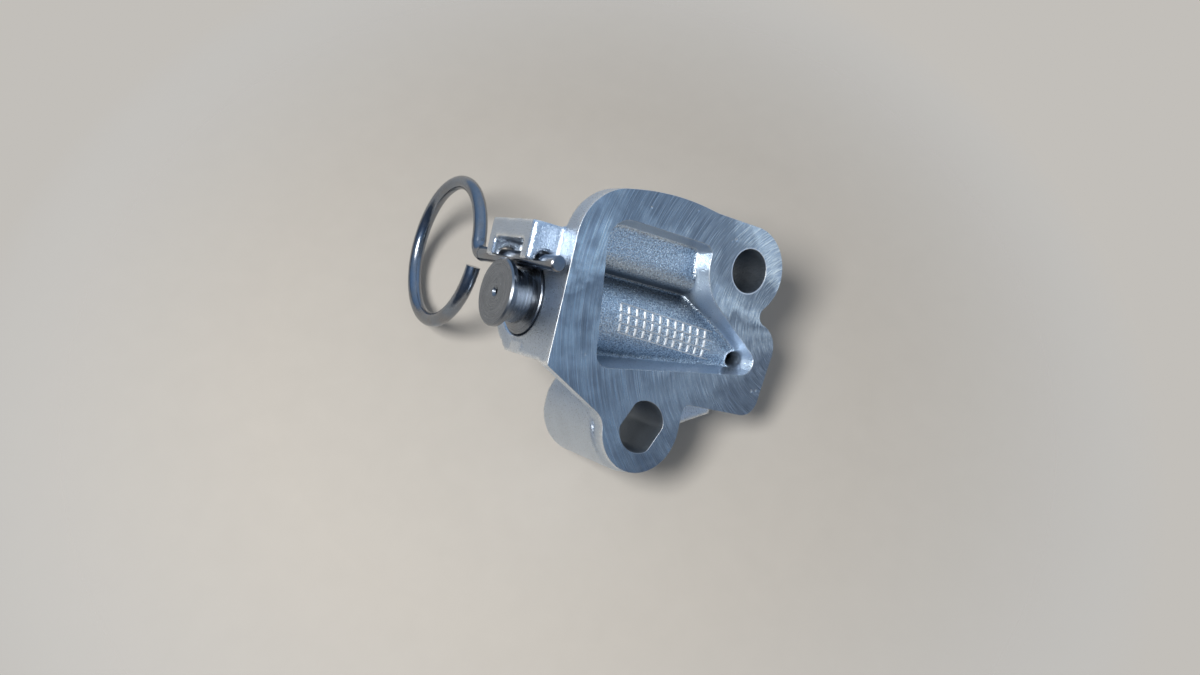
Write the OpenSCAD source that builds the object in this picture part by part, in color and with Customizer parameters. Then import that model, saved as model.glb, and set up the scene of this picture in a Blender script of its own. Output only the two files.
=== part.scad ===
// Timing chain tensioner: a die-cast housing with a hydraulic plunger that a ring pin holds in.
// Millimetres. The origin is the round bolt hole's centre on the machined mounting face.
// +X is the way the plunger comes out, +Y points to the slotted bolt hole, +Z out of the face.

/* [Mounting] */
// Radius of the round bolt hole
bolt_hole_r = 3.5; // [3.2:0.05:3.8]
// Slotted hole's centre, along X from the round hole
slot_x = 13.75; // [13:0.05:14.5]
// Slotted hole's centre, along Y from the round hole
slot_y = 27; // [26.5:0.05:28]
// Width of the slotted hole, between its flat sides
slot_w = 6.7; // [6.4:0.05:7]
// Length of the slotted hole, over its round ends
slot_len = 8; // [7.6:0.05:8.4]
// Radius of the flange round each bolt hole
ear_r = 7; // [6.6:0.05:7.4]
// Length of both bolt bosses
boss_len = 16.6; // [14:0.1:18]
// Thickness of the flange over the barrel
flange_t = 3.8; // [3.4:0.05:4.2]
// Thickness of the flange where it stands past the barrel
rim_t = 2.4; // [2:0.05:3]

/* [Barrel] */
// Distance of the mouth wall from the round hole
mouth_x = 32.2; // [31:0.1:34]
// Plunger axis, along Y from the round hole
axis_y = 12.3; // [12:0.05:12.8]
// Depth of the plunger axis under the mounting face
axis_z = 11; // [10.6:0.05:11.6]
// Wall of the barrel round its bore
barrel_wall = 2.5; // [2.2:0.05:2.8]
// Distance of the closed end behind the round hole
barrel_end = 8.9; // [8.4:0.05:9.6]
// Chamfer at the mouth of the bore
mouth_chamfer = 0.3; // [0.2:0.05:0.5]

/* [Pocket] */
// Depth of the shelf in the pocket
shelf_depth = 2.8; // [2.4:0.05:3.1]
// Rounding of the shelf's edge
shelf_r = 3.2; // [2.6:0.05:3.4]
// Draft of the pocket's walls
pocket_draft = 15; // [8:0.5:16]
// Radius of the pocket's corners at the face
pocket_corner_r = 2.2; // [2.15:0.05:2.6]
// Radius of the pocket's wide corner, over the mouth
pocket_wide_r = 3.6; // [3:0.1:4]
// Land left round the round bolt hole, as a radius
boss_land_r = 8.05; // [7.8:0.05:8.3]
// Radius of the oil feed hole
oil_hole_r = 1.15; // [0.9:0.05:1.4]

/* [Lug] */
// How far the lug stands past the mouth wall
lug_out = 4.8; // [4.5:0.05:5.4]
// Height of the lug across the pin
lug_high = 5.75; // [5.2:0.05:6.2]
// Depth of the finger-wide opening between the ears
lug_open = 2.85; // [2.5:0.05:3.2]
// Thickness of each ear
lug_ear_t = 2.4; // [2.1:0.05:2.8]
// Rounding of the lug's front edges
lug_round = 0.8; // [0.4:0.05:1]
// Fillet where the lug's side meets the mouth wall
lug_fillet = 0.8; // [0.4:0.05:1]

/* [Plunger] */
// Radius of the plunger's body
plunger_r = 5.45; // [5.3:0.01:5.6]
// Radius of the head
head_r = 5.08; // [4.9:0.02:5.2]
// Length of the head's rim
head_t = 1.05; // [0.9:0.05:1.1]
// Radius of the neck that the pin lies across
neck_r = 4; // [3.9:0.02:4.1]
// Front face of the head, past the mouth wall
head_out = 4.77; // [4.6:0.05:5]
// Radius of the hollow inside
hollow_r = 3.75; // [3.6:0.05:3.9]
// Radius of the vent hole in the head
vent_r = 0.45; // [0.3:0.05:0.6]

/* [Lock pin] */
// Radius of the pin's wire
wire_r = 1.15; // [1.05:0.01:1.2]
// Radius of the finger ring, to the middle of the wire
ring_r = 11.9; // [11:0.1:13]
// Depth of the ring's centre under the mounting face
ring_depth = 37.2; // [36:0.1:40]
// Radius of the bend between the leg and the ring
bend_r = 2.5; // [2:0.1:3]
// Angle between the ring's free end and the leg
ring_gap_angle = 9; // [9:0.5:20]
// How far the pin's tip stands past the plane of the mounting face
tip_out = 0.4; // [0:0.05:0.6]

/* [Springs and valve] */
// Radius of the plunger spring's outside
spring_r = 3.55; // [3.45:0.02:3.6]
// Thickness of the plunger spring's wire
spring_wire = 1.1; // [1:0.02:1.16]
// Turns of the plunger spring
spring_turns = 10; // [8:1:12]
// Radius of the check ball
ball_r = 1.5875; // [1.5:0.0125:1.6]
// Radius of the check valve's inlet
inlet_r = 1.1; // [1:0.05:1.2]

/* [Clearances] */
// Running fit of the plunger in the bore, as a radius
run_gap = 0.05; // [0.03:0.01:0.1]
// Gap between the pin and the plunger's neck
pin_gap = 0.3; // [0.3:0.02:0.4]
// Gap between the pin and the notches in the ears
notch_gap = 0.3; // [0.3:0.02:0.4]
// Fit of the valve's seat and of the vent disc, as a radius
seat_gap = 0.02; // [0.01:0.01:0.05]
// Gap under the ball while it is shut
ball_gap = 0.02; // [0.01:0.01:0.05]

/* [Hidden] */
$fn = 96;
eps = 0.02;
// bore, barrel and body edges
bore_r = plunger_r + run_gap;
barrel_r = bore_r + barrel_wall;
bore_end = 3 - barrel_end;
body_y = axis_y + barrel_r + 0.2;
rim_y = body_y + 2;
// slot direction, along the line between the bolt holes
slot_a = atan2(slot_y, slot_x);
// shallow crown of the flange's edge between the round ear and the mouth
crown_r = 45;
crown_x = mouth_x - 17.4;
crown_y = crown_r - ear_r - 0.4;
// flange corner over the mouth, touching the crown
corner_r = 8.5;
corner_x = mouth_x - corner_r;
corner_y = crown_y - sqrt(pow(crown_r - corner_r, 2) - pow(corner_x - crown_x, 2));
crown_end = crown_x + (corner_x - crown_x) * crown_r / (crown_r - corner_r);
// flange bulge over the closed end
bulge_r = 4.2;
bulge_x = bulge_r - barrel_end;
bulge_y = axis_y - 0.5;
heel_r = 3.1;
heel_x = 4 - barrel_end;
heel_y = rim_y - heel_r;
// slanted edge from the mouth wall to the slotted ear, with its hollow corner
slant = 27.7;
slant_n = [sin(slant), cos(slant)];
slant_t = [cos(slant), -sin(slant)];
slant_r = 3;
slant_y = body_y + 0.25;
slant_k = slant_n * [mouth_x, slant_y] + slant_r - slant_n * [slot_x, slot_y];
slant_s = sqrt(pow(ear_r + slant_r, 2) - slant_k * slant_k);
slant_c = [slot_x, slot_y] + slant_k * slant_n + slant_s * slant_t;
slant_a0 = -90 - slant;
slant_a1 = atan2(slot_y - slant_c[1], slot_x - slant_c[0]);
// hollow corner between the round ear and the bulge
nook_r = 1.5;
nook_d = norm([bulge_x, bulge_y]);
nook_u = [bulge_x, bulge_y] / nook_d;
nook_a = (pow(ear_r + nook_r, 2) - pow(bulge_r + nook_r, 2) + nook_d * nook_d) / (2 * nook_d);
nook_h = sqrt(pow(ear_r + nook_r, 2) - nook_a * nook_a);
nook_c = nook_a * nook_u + nook_h * [-nook_u[1], nook_u[0]];
nook_a0 = atan2(bulge_y - nook_c[1], bulge_x - nook_c[0]);
nook_a1 = atan2(-nook_c[1], -nook_c[0]);
// rib behind the lug, and the gate pad on the mouth wall
rib = [mouth_x - 16, axis_y - 6, axis_z - 3];
gate = [0.65, 1.25, 2.9];
// pin, lug and plunger positions
pin_x = mouth_x + 2.05;
pin_y = axis_y - neck_r - pin_gap - wire_r;
lug_x = mouth_x + lug_out;
lug_bot = pin_y + 0.25;
lug_top = lug_bot - lug_high;
lug_z0 = -flange_t;
lug_z1 = -2 * axis_z + flange_t + 1;
notch_r = wire_r + notch_gap;
head_x = mouth_x + head_out;
groove_x = head_x - head_t;
shoulder_x = mouth_x + 0.2;
tail_x = 7.5;
hollow_x = mouth_x - 1.8;
// ring pin: the bend touches the leg and the ring
ring_y = pin_y + 0.35;
bend_y = pin_y - bend_r;
bend_z = -ring_depth + sqrt(pow(ring_r + bend_r, 2) - pow(ring_y - bend_y, 2));
bend_a = asin((ring_y - bend_y) / (ring_r + bend_r));
// valve
seat_x = 1.5;
seat_t = 3;
ball_x = seat_x + sqrt(pow(ball_r + ball_gap, 2) - inlet_r * inlet_r);
cage_in = ball_r + 0.27;
cage_t = 0.35;
cage_x = seat_x + 4.7;
disc_t = 1.2;
check_wire = 0.25;
check_r = ball_r - 0.44;
disc_x = hollow_x - disc_t;
pocket_low = 7.4;
draft_t = tan(pocket_draft);

// arc points, for hollow corners
function turn(a) = [cos(a), sin(a)];
function arc(c, r, a0, a1, n) = [for (i = [0 : n]) c + r * turn(a0 + (a1 - a0) * i / n)];

// solid of revolution about the plunger axis, from radius and distance pairs
module turned(pts) {
    translate([0, axis_y, -axis_z])
        rotate([0, 90, 0])
            rotate_extrude()
                polygon(pts);
}

// bar along X with a section given in Y and Z
module bar(x0, x1) {
    translate([x0, 0, 0])
        rotate([90, 0, 90])
            linear_extrude(x1 - x0)
                children();
}

// outline of the mounting face, without its holes
module flange_outline() {
    circle(ear_r + eps);
    translate([slot_x, slot_y])
        circle(ear_r + eps);
    translate([corner_x, corner_y])
        circle(corner_r + 2 * eps);
    intersection() {
        translate([crown_x, crown_y])
            circle(crown_r + eps);
        translate([crown_x - 7, -2 * ear_r])
            square([crown_end - crown_x + 7, 2 * ear_r]);
    }
    translate([bulge_x, bulge_y])
        circle(bulge_r + eps);
    translate([heel_x, heel_y])
        circle(heel_r + eps);
    polygon(concat(
        [[0, -ear_r], [crown_x, -ear_r], [corner_x, corner_y - corner_r + 0.1], [mouth_x, corner_y],
            [mouth_x, slant_y]],
        arc(slant_c, slant_r, slant_a0, slant_a1, 8),
        [[slot_x, slot_y], [slot_x - ear_r, slot_y], [slot_x - ear_r, rim_y + 0.6]],
        [[slot_x - ear_r - 0.6, rim_y], [heel_x, rim_y], [heel_x - heel_r, heel_y]],
        [[bulge_x - bulge_r, bulge_y]],
        arc(nook_c, nook_r, nook_a0, nook_a1, 6),
        [[0, 0]]
    ));
}

// part of the flange that lies over the barrel
module flange_over_barrel() {
    intersection() {
        flange_outline();
        translate([-20, -20])
            square([80, 20 + body_y]);
    }
}

// room cut by the pocket's core before the shelf and the barrel are left standing in it
module pocket_core() {
    top = 0.3;
    wide = pocket_wide_r;
    small = pocket_corner_r;
    hull() {
        for (p = [
            [mouth_x - 5.1 - wide, axis_y - 14.3 + wide, wide],
            [mouth_x - 9.7, axis_y + 5, small],
            [5.85 - barrel_end, axis_y + 1.75, small],
            [9.9, axis_y - 12.1, small]
        ])
            translate([p[0], p[1], -pocket_low])
                cylinder(h = pocket_low + top, r1 = p[2] - pocket_low * draft_t, r2 = p[2] + top * draft_t,
                    $fn = 40);
    }
}

// land round the round bolt hole, and the slanted wall that leaves it towards the oil hole
module pocket_land() {
    translate([0, 0, -9])
        cylinder(h = 10, r1 = boss_land_r + 9 * draft_t, r2 = boss_land_r - draft_t);
    high = boss_land_r - draft_t;
    low = boss_land_r + 9 * draft_t;
    rotate([0, 0, 56.8])
        translate([0, 25, 0])
            rotate([90, 0, 0])
                linear_extrude(25)
                    polygon([[0, 1], [high, 1], [low, -9], [0, -9]]);
}

// shelf that fills the pocket beside the barrel, with its rounded edge
module shelf() {
    edge_y = axis_y - 6.4;
    bar(-12, mouth_x) {
        translate([-15, -20])
            square([15 + edge_y - shelf_r, 20 - shelf_depth - eps]);
        translate([-15, -20])
            square([15 + edge_y - eps, 20 - shelf_depth - shelf_r]);
        translate([edge_y - shelf_r, -shelf_depth - shelf_r])
            circle(shelf_r);
    }
}

module pocket() {
    difference() {
        pocket_core();
        pocket_land();
        shelf();
        turned([[0, -30], [barrel_r, -30], [barrel_r, 60], [0, 60]]);
    }
}

// section of the fillet at the foot of the lug's side, tucked a little under both faces
module lug_foot() {
    foot = lug_fillet - eps;
    difference() {
        translate([mouth_x - 1, -lug_z0 - foot])
            square([1 + foot, foot + 0.5]);
        translate([mouth_x + foot, -lug_z0 - foot])
            circle(lug_fillet, $fn = 48);
    }
}

// lug with two ears that the pin lies under
module lug() {
    difference() {
        union() {
            translate([0, lug_top, 0])
                rotate([-90, 0, 0])
                    linear_extrude(lug_high) {
                        translate([mouth_x - 6, -lug_z0])
                            square([6 + lug_out - lug_round, lug_z0 - lug_z1]);
                        translate([mouth_x - 6, -lug_z0 + lug_round])
                            square([6 + lug_out - eps, lug_z0 - lug_z1 - 2 * lug_round]);
                        for (z = [-lug_z0 + lug_round, -lug_z1 - lug_round])
                            translate([lug_x - lug_round, z])
                                circle(lug_round, $fn = 48);
                        lug_foot();
                    }
            translate([0, 0, lug_z1])
                linear_extrude(lug_z0 - lug_z1)
                    polygon([[mouth_x, lug_top], [mouth_x - 6, lug_top], [mouth_x - 14, axis_y - barrel_r],
                        [mouth_x - 14, axis_y - 4], [mouth_x, axis_y - 4]]);
        }
        translate([mouth_x, lug_bot - lug_open, lug_z1 + lug_ear_t])
            cube([lug_out + 1, lug_open + 1, lug_z0 - lug_z1 - 2 * lug_ear_t]);
        translate([pin_x, pin_y, lug_z1 - 1])
            cylinder(h = lug_z0 - lug_z1 + 2, r = notch_r);
    }
}

// casting before it is cored and drilled
module casting() {
    translate([0, 0, -flange_t])
        linear_extrude(flange_t)
            flange_over_barrel();
    translate([0, 0, -rim_t])
        linear_extrude(rim_t)
            flange_outline();
    // barrel with a bevelled closed end
    turned([[0, -barrel_end + 0.1], [barrel_r - 2.2, -barrel_end + 0.1], [barrel_r, 2.3 - barrel_end],
        [barrel_r, mouth_x], [0, mouth_x]]);
    // flat sides between the barrel and the flange
    translate([2.3 - barrel_end, axis_y - barrel_r, -axis_z])
        cube([mouth_x - 2.3 + barrel_end, body_y - axis_y + barrel_r, axis_z - flange_t + 0.5]);
    // squared corner under the barrel's flat side
    bar(2.3 - barrel_end, mouth_x)
        polygon([[axis_y, -axis_z + 0.5], [body_y, -axis_z + 0.5], [body_y, -axis_z - 2.1],
            [body_y - 1.3, -axis_z - 4], [axis_y, -axis_z]]);
    // metal under the shelf
    bar(6, mouth_x - 5.2)
        polygon([[-3.4, -flange_t + 0.5], [-3.4, -5.4], [1, -5.6], [3.2, -8.4], [axis_y - 5, -9],
            [axis_y - 5, -flange_t + 0.5]]);
    // bolt bosses
    translate([0, 0, -boss_len])
        cylinder(h = boss_len - 0.5, r = ear_r - 0.2);
    translate([slot_x, slot_y, -boss_len])
        cylinder(h = boss_len - rim_t, r = ear_r + 0.5);
    // web from the slotted boss to the closed end
    translate([0, 0, -13])
        linear_extrude(5)
            polygon([[slot_x, slot_y + 5], [6.2, slot_y + 2.05], [3.2 - barrel_end, rim_y + 1.3],
                [3.2 - barrel_end, axis_y], [slot_x, axis_y]]);
    // rib from the round boss to the lug
    translate([0, -1.6, -11])
        cube(rib);
    // gate pad on the mouth wall
    translate([mouth_x - 0.5, axis_y + 6.45, -axis_z - 0.4])
        cube(gate);
}

module housing() {
    color([0.62, 0.64, 0.67])
        difference() {
            union() {
                casting();
                lug();
            }
            pocket();
            // bore with its chamfered mouth
            turned([[0, bore_end], [bore_r, bore_end], [bore_r, mouth_x - mouth_chamfer],
                [bore_r + mouth_chamfer + 0.2, mouth_x + 0.2], [0, mouth_x + 0.2]]);
            // clear way for the head in front of the mouth
            turned([[0, mouth_x + 0.1], [head_r + 0.5, mouth_x + 0.1], [head_r + 0.5, lug_x + 30],
                [0, lug_x + 30]]);
            // bolt holes
            translate([0, 0, -boss_len - 1])
                cylinder(h = boss_len + 2, r = bolt_hole_r);
            translate([slot_x, slot_y, -boss_len - 1])
                rotate([0, 0, slot_a])
                    linear_extrude(boss_len + 2)
                        intersection() {
                            circle(d = slot_len);
                            square([slot_len + 2, slot_w], center = true);
                        }
            // oil feed hole from the pocket into the end of the bore
            translate([5.4 - barrel_end, axis_y + 1.7, -axis_z])
                cylinder(h = axis_z, r = oil_hole_r, $fn = 48);
        }
}

module plunger() {
    color([0.45, 0.46, 0.47])
        turned([
            [hollow_r, tail_x], [plunger_r - 0.4, tail_x], [plunger_r, tail_x + 0.4],
            [plunger_r, shoulder_x - 0.15], [plunger_r - 0.15, shoulder_x],
            [neck_r, shoulder_x + 0.5], [neck_r, groove_x],
            [head_r - 0.15, groove_x], [head_r, groove_x + 0.15], [head_r, head_x - 0.25],
            [head_r - 0.25, head_x], [vent_r + 0.35, head_x], [vent_r, head_x - 0.35],
            [vent_r, hollow_x], [hollow_r, hollow_x]
        ]);
}

module vent_disc() {
    color([0.55, 0.55, 0.56])
        turned([[vent_r, disc_x], [hollow_r - seat_gap - 0.2, disc_x], [hollow_r - seat_gap, disc_x + 0.2],
            [hollow_r - seat_gap, hollow_x - 0.3], [hollow_r - seat_gap - 0.3, hollow_x - seat_gap],
            [vent_r, hollow_x - seat_gap]]);
}

// coil of flat wire along the plunger axis
module coil(x0, x1, r_out, wire, turns, steps) {
    pitch = (x1 - x0) / (turns + 0.5);
    half = 180 * wire / pitch;
    r_in = r_out - wire;
    translate([x0, axis_y, -axis_z])
        rotate([0, 90, 0])
            linear_extrude(x1 - x0, twist = -360 * turns, slices = turns * steps, $fn = 6)
                polygon(concat(arc([0, 0], r_out, -half, half, 5), arc([0, 0], r_in, half, -half, 5)));
}

module plunger_spring() {
    color([0.38, 0.39, 0.41])
        coil(seat_x + cage_t + seat_gap, disc_x - seat_gap, spring_r, spring_wire, spring_turns, 16);
}

module check_seat() {
    color([0.5, 0.5, 0.52])
        turned([[inlet_r + 0.5, seat_x - seat_t], [bore_r - seat_gap - 0.3, seat_x - seat_t],
            [bore_r - seat_gap, seat_x - seat_t + 0.3], [bore_r - seat_gap, seat_x], [inlet_r, seat_x],
            [inlet_r, seat_x - seat_t + 0.5]]);
}

module check_ball() {
    color([0.7, 0.71, 0.73])
        translate([ball_x, axis_y, -axis_z])
            sphere(ball_r, $fn = 64);
}

module check_spring() {
    color([0.38, 0.39, 0.41])
        coil(ball_x + sqrt(ball_r * ball_r - pow(check_r - check_wire, 2)) + 0.05, cage_x - seat_gap,
            check_r, check_wire, 4, 14);
}

module check_cage() {
    color([0.6, 0.61, 0.62])
        difference() {
            turned([
                [cage_in, seat_x + seat_gap / 2], [4.8, seat_x + seat_gap / 2], [4.8, seat_x + cage_t],
                [cage_in + cage_t, seat_x + cage_t], [cage_in + cage_t, cage_x + cage_t],
                [0.6, cage_x + cage_t], [0.6, cage_x], [cage_in, cage_x]
            ]);
            for (a = [0, 90])
                translate([seat_x + 0.9, axis_y, -axis_z])
                    rotate([a, 0, 0])
                        translate([0, -5, -0.6])
                            cube([3.2, 10, 1.2]);
        }
}

module lock_pin() {
    color([0.24, 0.25, 0.27]) {
        translate([pin_x, pin_y, bend_z])
            cylinder(h = tip_out - 0.2 - bend_z, r = wire_r);
        translate([pin_x, pin_y, tip_out - 0.2])
            cylinder(h = 0.2, r1 = wire_r, r2 = wire_r - 0.2);
        translate([pin_x, bend_y, bend_z])
            rotate([0, 90, 0])
                rotate([0, 0, bend_a])
                    rotate_extrude(angle = 90 - bend_a)
                        translate([bend_r, 0])
                            circle(wire_r, $fn = 48);
        // marks of the bending tool, at both ends of the bend
        translate([pin_x, pin_y, bend_z])
            cylinder(h = 0.5, r = wire_r + 0.03, center = true, $fn = 48);
        translate([pin_x, bend_y, bend_z])
            rotate([0, 90, 0])
                rotate([0, 0, bend_a])
                    translate([bend_r, 0, 0])
                        rotate([90, 0, 0])
                            cylinder(h = 0.5, r = wire_r + 0.03, center = true, $fn = 48);
        translate([pin_x, ring_y, -ring_depth])
            rotate([0, 90, 0])
                rotate([0, 0, 180 + bend_a])
                    rotate_extrude(angle = 360 - bend_a - ring_gap_angle)
                        translate([ring_r, 0])
                            circle(wire_r, $fn = 48);
    }
}

housing();
plunger();
vent_disc();
plunger_spring();
check_seat();
check_ball();
check_spring();
check_cage();
lock_pin();
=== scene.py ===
"""Looks of a timing chain tensioner: die-cast housing, turned plunger and a ring pin."""

import math

import bmesh
import bpy
import numpy as np
from bpy.props import FloatProperty, FloatVectorProperty, IntProperty, PointerProperty
from mathutils import Matrix, Vector


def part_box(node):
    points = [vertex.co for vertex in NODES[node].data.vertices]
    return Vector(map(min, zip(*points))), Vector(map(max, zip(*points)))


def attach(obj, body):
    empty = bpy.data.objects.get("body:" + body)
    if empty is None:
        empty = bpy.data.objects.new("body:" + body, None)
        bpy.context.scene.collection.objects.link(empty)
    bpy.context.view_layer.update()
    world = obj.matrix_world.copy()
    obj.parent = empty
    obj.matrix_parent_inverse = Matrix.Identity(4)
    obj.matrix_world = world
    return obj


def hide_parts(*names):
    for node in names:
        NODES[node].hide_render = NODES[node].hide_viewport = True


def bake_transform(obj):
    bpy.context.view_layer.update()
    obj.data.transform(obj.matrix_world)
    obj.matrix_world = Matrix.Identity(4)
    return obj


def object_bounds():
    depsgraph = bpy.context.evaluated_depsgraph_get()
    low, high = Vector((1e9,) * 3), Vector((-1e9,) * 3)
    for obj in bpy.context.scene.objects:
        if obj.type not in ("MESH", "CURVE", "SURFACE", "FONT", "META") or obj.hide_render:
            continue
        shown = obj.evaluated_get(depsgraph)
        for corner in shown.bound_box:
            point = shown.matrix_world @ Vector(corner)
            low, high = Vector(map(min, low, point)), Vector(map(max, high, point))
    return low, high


bl_info = {
    "name": "Chain tensioner looks",
    "version": (1, 0, 0),
    "blender": (4, 5, 0),
    "location": "View3D > Sidebar > Tensioner",
    "description": "Finishes the packed chain tensioner and sets it on a studio floor",
    "category": "Object",
}

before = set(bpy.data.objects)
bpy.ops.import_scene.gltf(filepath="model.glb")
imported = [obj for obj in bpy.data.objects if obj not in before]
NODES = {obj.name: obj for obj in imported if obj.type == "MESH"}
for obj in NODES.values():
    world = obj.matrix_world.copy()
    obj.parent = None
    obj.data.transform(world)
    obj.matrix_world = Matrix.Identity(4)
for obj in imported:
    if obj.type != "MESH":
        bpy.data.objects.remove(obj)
CAD_LOW, CAD_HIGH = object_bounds()
MM = 0.001
# points nearer than this count as one, and so do faces that bend less than this
SAME_POINT = 2e-6
SAME_PLANE = math.radians(0.3)

# places of the casting's features, in metres, in the part's own frame
FACE_Z = 0.0
AXIS_Y, AXIS_Z = 12.3 * MM, -11.0 * MM
MOUTH_X = 32.2 * MM
BORE_R = 5.5 * MM
BARREL_R = 8.0 * MM
# smooth pad at the mould's gate, on the wall beside the bore's mouth
GATE_PAD = ((32.0 * MM, 18.75 * MM, -11.4 * MM), (32.6 * MM, 20.0 * MM, -8.5 * MM))
# room that holds the cored pocket, the depths between which its valleys get painted shade, and how
# far along Y its walls get painted shade too
POCKET_ROOM = ((-7.0 * MM, -3.0 * MM, -6.6 * MM), (25.6 * MM, 20.0 * MM, -0.1 * MM))
SHADED_VALLEY_Z = (-4.6 * MM, -3.25 * MM)
SHADED_WALL_Y = 8.0 * MM
# what the casting keeps for each point: rubbed edge, floor of the pocket, drafted wall of it
WORN_POINTS = ("edge_wear", "pocket", "drafted")
# the round and the slotted bolt hole: middle and reach
BOLT_HOLES = (((0.0, 0.0), 3.8 * MM), ((13.75 * MM, 27.0 * MM), 4.3 * MM))
# rubbed rim of the round bolt hole, as distances from its middle
RIM_REACH = (3.64 * MM, 3.76 * MM)
# middle of the milling cutter's sweep over the face, and the reach that its lines are measured at
CUTTER_XY = (-12.5 * MM, 7.0 * MM)
CUTTER_REACH = 30.0 * MM
# angles that the sweep's fans lie between, in radians, and how bright each fan's painted highlight
# is, from one side of the face to the other; the fans paint the reflections that the cut lines
# catch
FAN_SPAN = (-1.2, 1.2)
PAINTED_SHEEN_FANS = ((0.06, 0.75), (0.15, 1.0), (0.26, 0.2), (0.36, 0.14), (0.43, 0.45), (0.475, 0.9),
        (0.53, 0.1), (0.60, 0.5), (0.67, 0.2), (0.76, 0.4), (0.86, 0.0))
# reach that the turned pieces' lines are measured at
TURNED_REACH = 5.0 * MM
# small dings in the face, by place and size in millimetres
NICKS = (((3.6, -7.0), 0.34), ((4.0, -4.1), 0.42), ((4.7, -3.7), 0.3), ((-6.2, 18.3), 0.36),
         ((-7.2, 18.1), 0.3), ((12.5, -6.4), 0.26), ((21.0, -4.6), 0.24), ((26.4, 18.2), 0.22))


class CastingLooks(bpy.types.PropertyGroup):
    """Sizes and colours of the housing"""

    face_edge: FloatProperty(
        name="Face edge", description="Width of the broken edge round the milled face",
        default=0.00004, unit="LENGTH", precision=5)
    milling_stock: FloatProperty(
        name="Milling stock", description="Metal that is cast over the face and milled off again",
        default=0.0009, unit="LENGTH", precision=5)
    cast_cell: FloatProperty(
        name="Cast cell", description="Finest detail that the mould keeps",
        default=0.00028, unit="LENGTH", precision=5)
    rounding: IntProperty(
        name="Rounding", description="How often the cast edges are eased", default=9, min=1)
    kept_detail: FloatProperty(
        name="Kept detail", description="Share of the casting's faces that is kept",
        default=0.62, subtype="FACTOR", min=0.1, max=1.0)
    skin_colour: FloatVectorProperty(
        name="Skin", description="Colour of the cast skin", subtype="COLOR",
        default=(0.57, 0.64, 0.725))
    face_colour: FloatVectorProperty(
        name="Milled face", description="Colour of the milled face", subtype="COLOR",
        default=(0.50, 0.58, 0.68))
    edge_colour: FloatVectorProperty(
        name="Worn edge", description="Colour of edges rubbed bright", subtype="COLOR",
        default=(0.82, 0.85, 0.88))


class MarkLooks(bpy.types.PropertyGroup):
    """The mould's grid of raised strokes in the pocket"""

    columns: IntProperty(
        name="Columns", description="Strokes in each row of the grid", default=12, min=2)
    rows: IntProperty(
        name="Rows", description="Rows of strokes", default=3, min=1)
    pitch: FloatProperty(
        name="Pitch", description="Distance between strokes along the barrel",
        default=0.00152, unit="LENGTH", precision=5)
    row_pitch: FloatProperty(
        name="Row pitch", description="Distance between the rows",
        default=0.00148, unit="LENGTH", precision=5)
    stroke_width: FloatProperty(
        name="Stroke width", description="Width of one raised stroke",
        default=0.0004, unit="LENGTH", precision=5)
    stroke_length: FloatProperty(
        name="Stroke length", description="Length of one raised stroke",
        default=0.00112, unit="LENGTH", precision=5)
    stroke_height: FloatProperty(
        name="Stroke height", description="How far a stroke stands out of the barrel",
        default=0.00022, unit="LENGTH", precision=5)
    line_width: FloatProperty(
        name="Line width", description="Width of the thin lines between the rows",
        default=0.00016, unit="LENGTH", precision=5)
    line_height: FloatProperty(
        name="Line height", description="How far a thin line stands out of the barrel",
        default=0.00007, unit="LENGTH", precision=5)
    stroke_colour: FloatVectorProperty(
        name="Strokes", description="Colour of the strokes, rubbed bright", subtype="COLOR",
        default=(0.88, 0.90, 0.92))


class SpringLooks(bpy.types.PropertyGroup):
    """Wire and windings of the two springs"""

    plunger_wire: FloatProperty(
        name="Plunger spring wire", description="Diameter of the plunger spring's wire",
        default=0.001, unit="LENGTH", precision=5)
    plunger_turns: IntProperty(
        name="Plunger spring turns", description="Windings of the plunger spring",
        default=11, min=4)
    check_wire: FloatProperty(
        name="Check spring wire", description="Diameter of the check spring's wire",
        default=0.0002, unit="LENGTH", precision=5)
    check_turns: IntProperty(
        name="Check spring turns", description="Windings of the check spring", default=5, min=4)


class SteelLooks(bpy.types.PropertyGroup):
    """Colours of the steel pieces"""

    plunger_colour: FloatVectorProperty(
        name="Plunger", description="Colour of the turned plunger", subtype="COLOR",
        default=(0.225, 0.245, 0.275))
    pin_colour: FloatVectorProperty(
        name="Pin wire", description="Colour of the ring pin's wire", subtype="COLOR",
        default=(0.22, 0.238, 0.262))
    valve_colour: FloatVectorProperty(
        name="Valve", description="Colour of the valve's seat, cage and disc", subtype="COLOR",
        default=(0.50, 0.50, 0.51))
    ball_colour: FloatVectorProperty(
        name="Ball", description="Colour of the polished ball", subtype="COLOR",
        default=(0.68, 0.69, 0.71))
    spring_colour: FloatVectorProperty(
        name="Springs", description="Colour of the drawn spring wire", subtype="COLOR",
        default=(0.34, 0.35, 0.37))


class StageLooks(bpy.types.PropertyGroup):
    """Floor, light and camera"""

    floor_colour: FloatVectorProperty(
        name="Floor", description="Colour of the plain floor", subtype="COLOR",
        default=(0.595, 0.57, 0.535))
    floor_reach: FloatProperty(
        name="Floor reach", description="How far the floor under the part goes",
        default=0.105, unit="LENGTH")
    backdrop_colour: FloatVectorProperty(
        name="Backdrop", description="Plain colour behind the part", subtype="COLOR",
        default=(0.54, 0.52, 0.49))
    key_colour: FloatVectorProperty(
        name="Key colour", description="Colour of the large soft light", subtype="COLOR",
        default=(1.0, 0.97, 0.92))
    key_power: FloatProperty(
        name="Key light", description="Power of the large soft light", default=0.74, unit="POWER")
    fill_power: FloatProperty(
        name="Fill light", description="Power of the light under the floor", default=0.1,
        unit="POWER")
    lens: FloatProperty(
        name="Lens", description="Focal length on a 36 mm sensor", default=28.5)


class TensionerSettings(bpy.types.PropertyGroup):
    """All settings of the tensioner"""

    casting: PointerProperty(type=CastingLooks)
    marks: PointerProperty(type=MarkLooks)
    springs: PointerProperty(type=SpringLooks)
    steel: PointerProperty(type=SteelLooks)
    stage: PointerProperty(type=StageLooks)


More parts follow.
